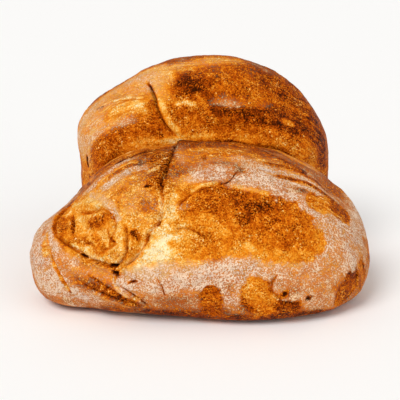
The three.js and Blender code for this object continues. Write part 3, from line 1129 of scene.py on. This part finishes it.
# %% The torn places, where the dough has no skin
torn_strokes = (
    (0.60, 20, [(-68, 64), (-54, 70), (-42, 60)]),
    (1.00, 12, [(-46, 96), (-34, 92), (-30, 78)]),
    (0.15, 22, [(-88, 42), (-72, 32)]),
    (0.80, 5, [(-90, 20), (-74, 14), (-60, 18)]),
    (0.80, 5, [(-28, 68), (-29, 50), (-40, 34)]),
    (0.60, 8, [(-20, 40), (-6, 40), (6, 34)]),
    (0.30, 10, [(-92, 0), (-70, -8), (-50, -18)]),
)
for level, width, places in torn_strokes:
    brush("torn", level, width, places, edge=SOFT_EDGE)
print(len(torn_strokes), "torn places")

# %% [markdown]
# ## Small relief
# A last layer of lumps at three sizes keeps any part of the crust from being smooth. The ridges need a
# noise that is stretched along the rolls, so it is not read at a corner's place in the room but at its
# place on the dough: how far along the crease, how far from it, and a slow drift that bends the ridges.
# The same three numbers are kept for the finish. The foot stays flat and is tucked in below the front.

# %% Lumps, ridges and crumbs
HEIGHT_OF_LUMPS = 1.3
HEIGHT_OF_BUMPS = 0.55
HEIGHT_OF_GRAINS = 0.3
HEIGHT_OF_RIDGES = 0.8
HEIGHT_OF_CRUMBS = 0.9
THREAD_LENGTH = 20
THREAD_WIDTH = 2.0

pulled = np.column_stack([crease_along / THREAD_LENGTH, crease_gap / THREAD_WIDTH + 0.8 * patchy,
                          lumps(rest, 30, 19)])
ridges = np.clip(coats["wrinkle"], 0, 1) * lumps(pulled * (0.9, 0.3, 1.0), 1, 22)
crumbs = np.clip(coats["torn"], 0, 1) * lumps(rest, 4.4, 33, 2)
small_relief = (HEIGHT_OF_LUMPS * lumps(rest, 42, 1) + HEIGHT_OF_BUMPS * lumps(rest, 13, 2)
                + HEIGHT_OF_GRAINS * fine + HEIGHT_OF_RIDGES * ridges + HEIGHT_OF_CRUMBS * crumbs)
push += small_relief[:, None] * outward
print("the small relief is up to", round(float(np.abs(small_relief).max()), 1), "mm high")

# %% The foot on the table
SOLE = 1
SOLE_FADE = 8
TUCK = 12
TUCK_HEIGHT = 34
TUCK_FRONT = -60
TUCK_SOFTNESS = 20
TUCK_MIDDLE = -42
TUCK_REACH = 84

push *= (1 - fade((rest[:, 2] - SOLE) / SOLE_FADE))[:, None]
tuck = TUCK * fade(rest[:, 2] / TUCK_HEIGHT) * fade((rest[:, 1] - TUCK_FRONT) / TUCK_SOFTNESS)
push[:, 1] += tuck * bump((rest[:, 0] - TUCK_MIDDLE) / TUCK_REACH)
print("the foot is tucked in by up to", TUCK, "mm")

# %% All pushes are made
print("the deepest mark is", round(float(np.linalg.norm(push, axis=1).max()), 1), "mm")
shaped = (rest + push) * MM
shaped[:, 2] = np.maximum(shaped[:, 2], 0)
crust.data.vertices.foreach_set("co", shaped.ravel())
for face in crust.data.polygons:
    face.use_smooth = True
crust.data.update()

# %% [markdown]
# ## Painted shade inside the folds
# Little light gets into a fold, and the lamps alone leave the shallow ones too pale, so the gap coat paints
# shade into the inside of each and clears its flour. The shade fades out where a fold closes, and comes and
# goes along it, because an even dark line would look drawn.


# %% Painted shade inside the folds
def shade(path, level, width, reach=1.0):
    """Paints shade into the inside of a fold, unevenly, over the first part of its path or all of it."""
    near, gap, along, foot, _ = gap_to_path(rest, path, width * 2)
    uneven = gap * (1 + RAGGED * lumps(foot, 5, 21))
    strength = level * np.clip(0.75 + 0.8 * lumps(foot, 12, 25), 0.1, 1.3)
    strength *= fade((along - reach) / 0.15 + 1)
    mark = strength * fade((uneven - width * (1 - SOFT_EDGE)) / (2 * SOFT_EDGE * width)) * ends(along, 0.06)
    coats["gap"][near] = np.maximum(coats["gap"][near], mark)
    coats["flour"][near] *= 1 - fade(uneven / width / 1.5)


shade(crease, 0.6, 4)
shade(upper_lap, 0.75, 1.3, reach=0.9)
shade(lower_lap, 0.75, 1.1, reach=0.55)
shade(rolled_edge, 0.7, 1.2, reach=0.3)
shaded_folds = (*((fold, 0.3, 3.0) for fold in side_folds),
                *((tear, 0.45, 1.4) for tear in back_tears),
                (rolled_edge, 0.42, 1.0), (petal_edge, 0.12, 0.9), (oval_step, 0.3, 0.7),
                (middle_tear, 0.4, 0.8), (bowl_arc, 0.3, 0.6), (shoulder_crack, 0.2, 0.6),
                (flour_curl, 0.3, 0.8), *((fold, 0.2, 0.8) for fold in corner_folds),
                *((slit, 0.5, 0.8) for slit in right_slits),
                *((line, 0.28, 0.7) for line in swirl_lines),
                *((hole, 0.85, 1.2) for hole in torn_holes))
for path, level, width in shaded_folds:
    shade(path, level, width)
# Painted shade in the burst bubbles.
for bubble in burst_bubbles:
    brush("gap", 0.9, 1.4, [bubble], edge=0.4)
print("the dark lies on", round(100 * float((coats["gap"] > 0.1).mean()), 1), "% of the corners")

# %% The coats are laid on the mesh
held = crust.data.attributes.new("pulled", "FLOAT_VECTOR", "POINT")
held.data.foreach_set("vector", pulled.astype(np.float32).ravel())
for coat, levels in coats.items():
    held = crust.data.attributes.new(coat, "FLOAT", "POINT")
    held.data.foreach_set("value", np.clip(levels, 0, 1).astype(np.float32))
    print(coat, "runs from", round(float(levels.min()), 2), "to", round(float(levels.max()), 2))

# %% [markdown]
# ## The crust's finish
# One material wears all five coats. Its bake is broken up by mottling at three sizes, by pale blisters,
# which are bubbles just under the skin, and by small burnt specks. The flour is not a layer of paint: it
# is grains, so its edge is torn by noise and brown crust shows between them. The helpers below each make
# one kind of mark or one sum from nodes, so that the cells after them read like a recipe.


# %% Steps that the finish is made from
def attribute(tree, name):
    """A coat's level at each point of the crust."""
    return add_node(tree, "ShaderNodeAttribute", {"attribute_name": name}).outputs["Fac"]


def maths(tree, operation, first, second=0.0, third=0.0):
    """One sum on values."""
    return add_node(tree, "ShaderNodeMath", {"operation": operation},
                    _0=first, _1=second, _2=third).outputs[0]


def times(tree, first, second):
    """One value multiplied by another."""
    return maths(tree, "MULTIPLY", first, second)


def add_up(tree, start, *steps):
    """A value, plus others that are each multiplied by a share."""
    total = start
    for value, share in steps:
        total = maths(tree, "MULTIPLY_ADD", value, share, total)
    return total


def map_range(tree, value, low, high, to_low=0.0, to_high=1.0):
    """Stretches the values between low and high to between to_low and to_high, with soft ends."""
    return add_node(tree, "ShaderNodeMapRange", {"interpolation_type": "SMOOTHSTEP"}, Value=value,
                    From_Min=low, From_Max=high, To_Min=to_low, To_Max=to_high).outputs["Result"]


def blend_colours(tree, share, first, second):
    """One colour over another."""
    mixed = add_node(tree, "ShaderNodeMix", {"data_type": "RGBA"})
    plug(tree, mixed.inputs[0], share)
    plug(tree, mixed.inputs[6], first)
    plug(tree, mixed.inputs[7], second)
    return mixed.outputs[2]


# %% Kinds of marks
def grain(tree, where, size, detail=2.0, rough=0.55, swirl=0.0):
    """Noise from about -0.5 to 0.5, with lumps of a size in millimetres, that may be swirled."""
    made = add_node(tree, "ShaderNodeTexNoise", Vector=where, Scale=1 / (size * MM), Detail=detail,
                    Roughness=rough, Distortion=swirl)
    return maths(tree, "SUBTRACT", made.outputs["Fac"], 0.5)


def hairlines(tree, where, size, width):
    """Thin wandering lines, from 0 to 1: where a swirled noise crosses its middle."""
    wander = maths(tree, "ABSOLUTE", grain(tree, where, size, detail=3, rough=0.6, swirl=0.7))
    return map_range(tree, wander, width, 0.0)


def spots(tree, where, spacing, radius, share):
    """Round soft spots, from 0 to 1, on a share of the places of a loose net."""
    net = add_node(tree, "ShaderNodeTexVoronoi", Vector=where, Scale=1 / (spacing * MM))
    round_spot = map_range(tree, net.outputs["Distance"], radius / spacing, 0.3 * radius / spacing)
    chance = add_node(tree, "ShaderNodeSeparateColor", Color=net.outputs["Color"]).outputs["Red"]
    return times(tree, round_spot, maths(tree, "LESS_THAN", chance, share))


# %% [markdown]
# ## The finish: small marks
# Close up, a crust is never one brown. It is mottled like a map, gritty like sandpaper, crossed by
# hairlines and dotted with blisters and specks, and where it tore, strands of crumb lie bare. Each mark is
# a noise that is read at a place on the loaf, with its size in millimetres, so it doesn't stretch, has no
# seam, and is as fine at the back as in front. The threads are read at the place on the dough instead.

# %% The coats and the small marks
crust_paint, tree, shader = new_material("crust")
where = add_node(tree, "ShaderNodeTexCoord").outputs["Object"]
on_dough = add_node(tree, "ShaderNodeAttribute", {"attribute_name": "pulled"}).outputs["Vector"]
# The gap coat carries painted shade: the dark inside the folds, cracks and holes.
bake, flour, gap, wrinkle, bare = (attribute(tree, coat)
                                   for coat in ("bake", "flour", "gap", "wrinkle", "torn"))

cloudy = grain(tree, where, size=12, detail=3)
mottled = grain(tree, where, size=5.5, detail=4, rough=0.72, swirl=0.5)
busy = map_range(tree, grain(tree, where, size=9), -0.12, 0.16, to_low=0.65, to_high=1.2)
busy = add_up(tree, busy, (bare, 0.3))
grit = grain(tree, where, size=1.15, detail=1, rough=0.6, swirl=0.6)
gritty = times(tree, grit, busy)
threads = add_node(tree, "ShaderNodeTexNoise", Vector=on_dough, Scale=1.0, Detail=4.0, Roughness=0.7)
threads = times(tree, maths(tree, "SUBTRACT", threads.outputs["Fac"], 0.5), wrinkle)
lines = times(tree, hairlines(tree, where, size=7, width=0.022), busy)
strands = times(tree, hairlines(tree, where, size=5.2, width=0.05), bare)
pale_strands = times(tree, hairlines(tree, where, size=4.1, width=0.04), bare)
blisters = spots(tree, where, spacing=4.2, radius=1.0, share=0.4)
specks = spots(tree, where, spacing=2.2, radius=0.65, share=0.22)
print("the small marks take", len(tree.nodes), "nodes")

# %% [markdown]
# ## The finish: the brown
# In the oven, dough turns from cream to gold, chestnut and black, always in that order. So one level
# picks the colour from a ramp, and every mark moves that level up or down before the colour is picked.
# Mixing a darker paint over a brown one would give greys that bread never has. Marks show most where the
# crust is well baked, and a thin darker rim runs round each island of flour.

# %% The level of the bake, mark by mark
toasted = map_range(tree, bake, 0.10, 0.70, to_low=0.40, to_high=1.0)
browned = map_range(tree, bake, 0.35, 0.75)
brown_blisters = times(tree, blisters, browned)
brown_lines = times(tree, lines, browned)
broken = add_up(tree, 0.05, (mottled, 1.15), (gritty, 1.7), (specks, 0.16), (cloudy, 0.25))
level = add_up(tree, bake, (threads, 2.0), (brown_blisters, -0.28), (brown_lines, -0.22),
               (strands, 0.26), (pale_strands, -0.16))
level = maths(tree, "MULTIPLY_ADD", broken, toasted, level)
rim = times(tree, map_range(tree, flour, 0.1, 0.35), map_range(tree, flour, 0.6, 0.35))
rim = times(tree, rim, browned)
# The gap coat also moves the level darker, which paints shade into the folds.
level = add_up(tree, level, (rim, 0.16), (gap, 0.7))

# %% The colours of the bake
BAKE_COLOURS = ((0.0, (255, 234, 184)), (0.14, (252, 194, 96)), (0.28, (240, 150, 34)),
                (0.44, (220, 116, 14)), (0.60, (186, 82, 4)), (0.76, (146, 55, 0)),
                (0.90, (98, 33, 0)), (1.0, (56, 18, 0)))
ramp = add_node(tree, "ShaderNodeValToRGB", Fac=level)
while len(ramp.color_ramp.elements) < len(BAKE_COLOURS):
    ramp.color_ramp.elements.new(0.5)
for stop, (place, colour) in zip(ramp.color_ramp.elements, BAKE_COLOURS):
    stop.position = place
    stop.color = linear(*colour)
print("the bake runs over", len(ramp.color_ramp.elements), "colours")

# %% [markdown]
# ## The finish: the flour
# Flour lies in grains and clots. Thick flour is nearly white, with a grey bloom in places, and thin flour
# takes up steam and toasts to a tan. Lowering the opacity of one white layer would only give fog. Here
# the amount of flour decides how much of the noise is covered, so its edge breaks up into grains, and a
# second pattern of grains decides which ones are pale and which are dusky.

# %% How much flour covers each spot
grains = add_up(tree, 0.0, (mottled, 1.9), (gritty, 3.4), (cloudy, 1.0), (threads, 3.6), (specks, -0.3))
dusted = map_range(tree, flour, 0.0, 0.7, to_low=0.12, to_high=1.0)
clots = maths(tree, "MULTIPLY_ADD", grains, dusted, flour)
cover = map_range(tree, clots, 0.20, 1.1, to_low=0.0, to_high=0.96)
thick = map_range(tree, flour, 0.35, 0.85)
dusty = times(tree, map_range(tree, flour, 0.25, 0.75), 0.5)

# %% The colours of the flour
FLOUR_PALE = linear(244, 214, 184)
FLOUR_GREY = linear(224, 198, 178)
FLOUR_WARM = linear(248, 206, 152)
FLOUR_TAN = linear(222, 146, 84)
FLOUR_DUSKY = linear(184, 114, 66)
scribble = add_up(tree, 0.28, (thick, 0.34), (grit, 3.2), (mottled, 0.9), (cloudy, 0.9), (threads, 2.2))
bloom = map_range(tree, grain(tree, where, size=26, detail=3), 0.0, 0.2, to_low=0.0, to_high=0.8)
grey = times(tree, bloom, map_range(tree, flour, 0.5, 0.9))
brown = blend_colours(tree, thick, FLOUR_TAN, FLOUR_DUSKY)
pale = blend_colours(tree, thick, FLOUR_WARM, blend_colours(tree, grey, FLOUR_PALE, FLOUR_GREY))
flour_colour = blend_colours(tree, map_range(tree, scribble, 0.1, 0.9), brown, pale)
dulled = blend_colours(tree, dusty, ramp.outputs["Color"], brown)
floured = blend_colours(tree, cover, dulled, flour_colour)

# %% [markdown]
# ## The finish: shine and relief
# Dark crust has a faint warm shine and flour has none, so the roughness follows both. The last marks are
# too small for the net: grit, specks and threads are told to the light by a Bump node, about a
# millimetre high. Anything larger was pushed into the mesh, so that it shows along the outline too.

# %% The colour, with painted shade in the gaps
PAINTED_SHADE_COLOUR = linear(60, 20, 0)
# Where the gap coat is high, a dark brown is mixed in: painted shade inside the folds.
painted_shade_share = map_range(tree, gap, 0.3, 1.0)
plug(tree, shader.inputs["Base Color"], blend_colours(tree, painted_shade_share, floured, PAINTED_SHADE_COLOUR))

# %% The shine
SKIN_TINT = (1.0, 0.52, 0.20, 1.0)
SKIN_SHINE = 0.06
FLOUR_ROUGHNESS = 0.92
skin_roughness = map_range(tree, level, 0.2, 1.0, to_low=0.70, to_high=0.45)
roughness = add_node(tree, "ShaderNodeMix", _0=cover, _2=skin_roughness, _3=FLOUR_ROUGHNESS)
plug(tree, shader.inputs["Roughness"], roughness.outputs[0])
shader.inputs["Specular IOR Level"].default_value = SKIN_SHINE
shader.inputs["Specular Tint"].default_value = SKIN_TINT

# %% The finest relief
RELIEF_HEIGHT = 1.2
relief = add_up(tree, 0.0, (mottled, 1.4), (gritty, 1.0), (blisters, 0.4), (specks, -0.4), (threads, 1.2),
                (lines, -0.3), (strands, -0.3))
raised = add_node(tree, "ShaderNodeBump", Height=relief, Distance=RELIEF_HEIGHT * MM, Strength=0.9)
plug(tree, shader.inputs["Normal"], raised.outputs["Normal"])
crust.data.materials.clear()
crust.data.materials.append(crust_paint)
print("the crust's finish takes", len(tree.nodes), "nodes")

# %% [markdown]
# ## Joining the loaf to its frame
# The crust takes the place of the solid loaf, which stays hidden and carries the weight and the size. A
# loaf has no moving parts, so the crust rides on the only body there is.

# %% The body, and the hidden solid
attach(crust, "root")
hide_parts("loaf")
